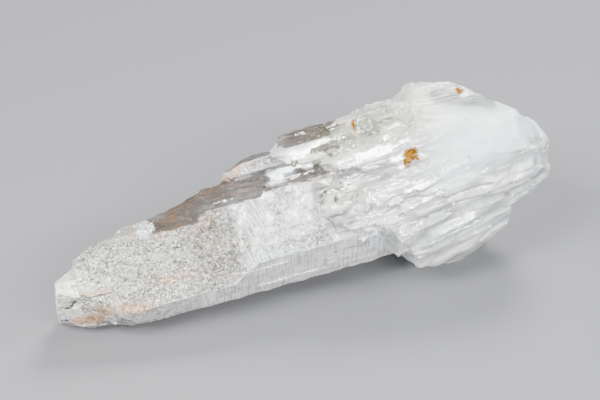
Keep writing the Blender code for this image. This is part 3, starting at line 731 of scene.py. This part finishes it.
POCKETS = (
    # x, up, out, how far they lie apart, grains, size of a grain
    (70.6, 6.2, 13.2, 0.9, 46, 0.46), (69.6, 5.0, 13.3, 0.5, 14, 0.34), (71.7, 7.0, 13.2, 0.5, 12, 0.32),
    (62.7, 14.3, 9.3, 0.5, 10, 0.26), (83.7, 15.3, 9.5, 0.45, 8, 0.34),
)
LUMPS = 0.45
UNDER_A_GRAIN = 0.4
chance = Random(3)
crumbs = bmesh.new()
for x, y, z, apart, count, size in POCKETS:
    for number in range(count):
        grain = bmesh.ops.create_icosphere(crumbs, subdivisions=2, radius=size * chance.uniform(0.6, 1.0))
        for vert in grain["verts"]:
            vert.co *= 1 + LUMPS * noise.noise(vert.co * 3.0 + Vector((number * 5.3 + x, 0, 0)))
        spin = Matrix.Rotation(chance.uniform(0, 6.28), 3, (chance.gauss(0, 1), chance.gauss(0, 1), 1))
        bmesh.ops.rotate(crumbs, cent=(0, 0, 0), matrix=spin, verts=grain["verts"])
        flattened = (1.0, chance.uniform(0.6, 0.9), chance.uniform(0.5, 0.8))
        bmesh.ops.scale(crumbs, vec=flattened, verts=grain["verts"])
        at_x, at_y = x + chance.gauss(0, apart * 0.6), y + chance.gauss(0, apart * 0.65)
        ground = out[(np.hypot(along - at_x, up - at_y) < UNDER_A_GRAIN) & (out > 0.5 * z)]
        ground = np.median(ground) if len(ground) else z
        height = ground + chance.uniform(-0.1, 0.25)
        bmesh.ops.translate(crumbs, verts=grain["verts"], vec=(at_x, at_y, height))
bmesh.ops.transform(crumbs, matrix=laid, verts=crumbs.verts)
crumbs_mesh = bpy.data.meshes.new("rust_grains")
crumbs.to_mesh(crumbs_mesh)
crumbs.free()
rust_grains = bpy.data.objects.new("rust_grains", crumbs_mesh)
bpy.context.scene.collection.objects.link(rust_grains)

# Earthy and matt, from dark to light ochre in clots.
DARK_OCHRE, LIGHT_OCHRE = (0.08, 0.028, 0.0, 1), (0.27, 0.125, 0.0, 1)
CLOTS_PER_METRE = 1500
iron_oxide = bpy.data.materials.new("iron_oxide")
iron_oxide.use_nodes = True
tree = iron_oxide.node_tree
shader = tree.nodes["Principled BSDF"]
crumb_place = tree.nodes.new("ShaderNodeTexCoord")
clots = tree.nodes.new("ShaderNodeTexNoise")
clots.inputs["Scale"].default_value = CLOTS_PER_METRE
clots.inputs["Detail"].default_value = 4
tree.links.new(crumb_place.outputs["Object"], clots.inputs["Vector"])
ochre = tree.nodes.new("ShaderNodeValToRGB")
ochre.color_ramp.elements[0].position = 0.35
ochre.color_ramp.elements[0].color = DARK_OCHRE
ochre.color_ramp.elements[1].position = 0.65
ochre.color_ramp.elements[1].color = LIGHT_OCHRE
tree.links.new(clots.outputs["Fac"], ochre.inputs["Fac"])
tree.links.new(ochre.outputs["Color"], shader.inputs["Base Color"])
pitting = tree.nodes.new("ShaderNodeBump")
pitting.inputs["Distance"].default_value = 0.1 * MM
tree.links.new(clots.outputs["Fac"], pitting.inputs["Height"])
tree.links.new(pitting.outputs["Normal"], shader.inputs["Normal"])
shader.inputs["Roughness"].default_value = 0.7
shader.inputs["Specular IOR Level"].default_value = 0.15
crumbs_mesh.materials.append(iron_oxide)
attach(rust_grains, "root")

# ---------------------------------------------------------------------------------------------------------
# The studio.  A pale paper floor and five soft boxes: the key and a lower side light on the left, a wide
# thin strip in front, a fill on the right, and one behind that shines through the thin edges.

FLOOR_HALF = 2.0
PAPER_GREY = (0.12, 0.122, 0.128, 1)
floor_sheet = bmesh.new()
bmesh.ops.create_grid(floor_sheet, x_segments=1, y_segments=1, size=FLOOR_HALF)
floor_mesh = bpy.data.meshes.new("floor")
floor_sheet.to_mesh(floor_mesh)
floor_sheet.free()
studio_floor = bpy.data.objects.new("floor", floor_mesh)
bpy.context.scene.collection.objects.link(studio_floor)
paper = bpy.data.materials.new("paper")
paper.use_nodes = True
paper.node_tree.nodes["Principled BSDF"].inputs["Base Color"].default_value = PAPER_GREY
paper.node_tree.nodes["Principled BSDF"].inputs["Roughness"].default_value = 0.9
floor_mesh.materials.append(paper)

# The lamps and the camera are set round the middle of the crystal.
middle = laid @ Vector((50.0, 0.0, 0.0))
SOFT_BOXES = (
    # name, degrees round from the front towards +X, degrees up, distance, width, height, power
    ("key", -50, 42, 0.5, 0.20, 0.20, 8.2),
    ("side", -88, 16, 0.5, 0.15, 0.15, 2.8),
    ("strip", 7, 30, 0.6, 0.36, 0.028, 8.0),
    ("fill", 62, 34, 0.6, 0.25, 0.25, 4.2),
    ("back", 140, 58, 0.5, 0.20, 0.20, 7.0),
)
for name, degrees_round, degrees_up, distance, wide, tall, power in SOFT_BOXES:
    lamp = bpy.data.lights.new(name, "AREA")
    lamp.shape = "RECTANGLE"
    lamp.energy = power
    lamp.size = wide
    lamp.size_y = tall
    holder = bpy.data.objects.new(name, lamp)
    bpy.context.scene.collection.objects.link(holder)
    side, rise = radians(degrees_round), radians(degrees_up)
    way = Vector((sin(side) * cos(rise), -cos(side) * cos(rise), sin(rise)))
    holder.location = middle + way * distance
    holder.rotation_euler = way.to_track_quat("Z", "Y").to_euler()

world = bpy.data.worlds.new("studio")
bpy.context.scene.world = world
world.use_nodes = True
world.node_tree.nodes["Background"].inputs["Color"].default_value = (0.9, 0.93, 1.0, 1)
world.node_tree.nodes["Background"].inputs["Strength"].default_value = 0.09

# The camera looks down 30 degrees on the crystal, from a little to the left of its middle.
TURN = radians(16.5)
LOOK_DOWN = radians(30)
DISTANCE = 0.381
ABOVE = 2.95 * MM
to_camera = Vector((-sin(TURN) * cos(LOOK_DOWN), -cos(TURN) * cos(LOOK_DOWN), sin(LOOK_DOWN)))
sideways = Vector((cos(TURN), -sin(TURN), 0))
upright = to_camera.cross(sideways)
lens = bpy.data.cameras.new("camera")
lens.lens = 120
lens.sensor_width = 36
lens.clip_start = 0.01
camera = bpy.data.objects.new("camera", lens)
bpy.context.scene.collection.objects.link(camera)
camera.location = middle + to_camera * DISTANCE + upright * ABOVE
camera.rotation_euler = Matrix((sideways, upright, to_camera)).transposed().to_euler()
bpy.context.scene.camera = camera

bpy.context.view_layer.update()
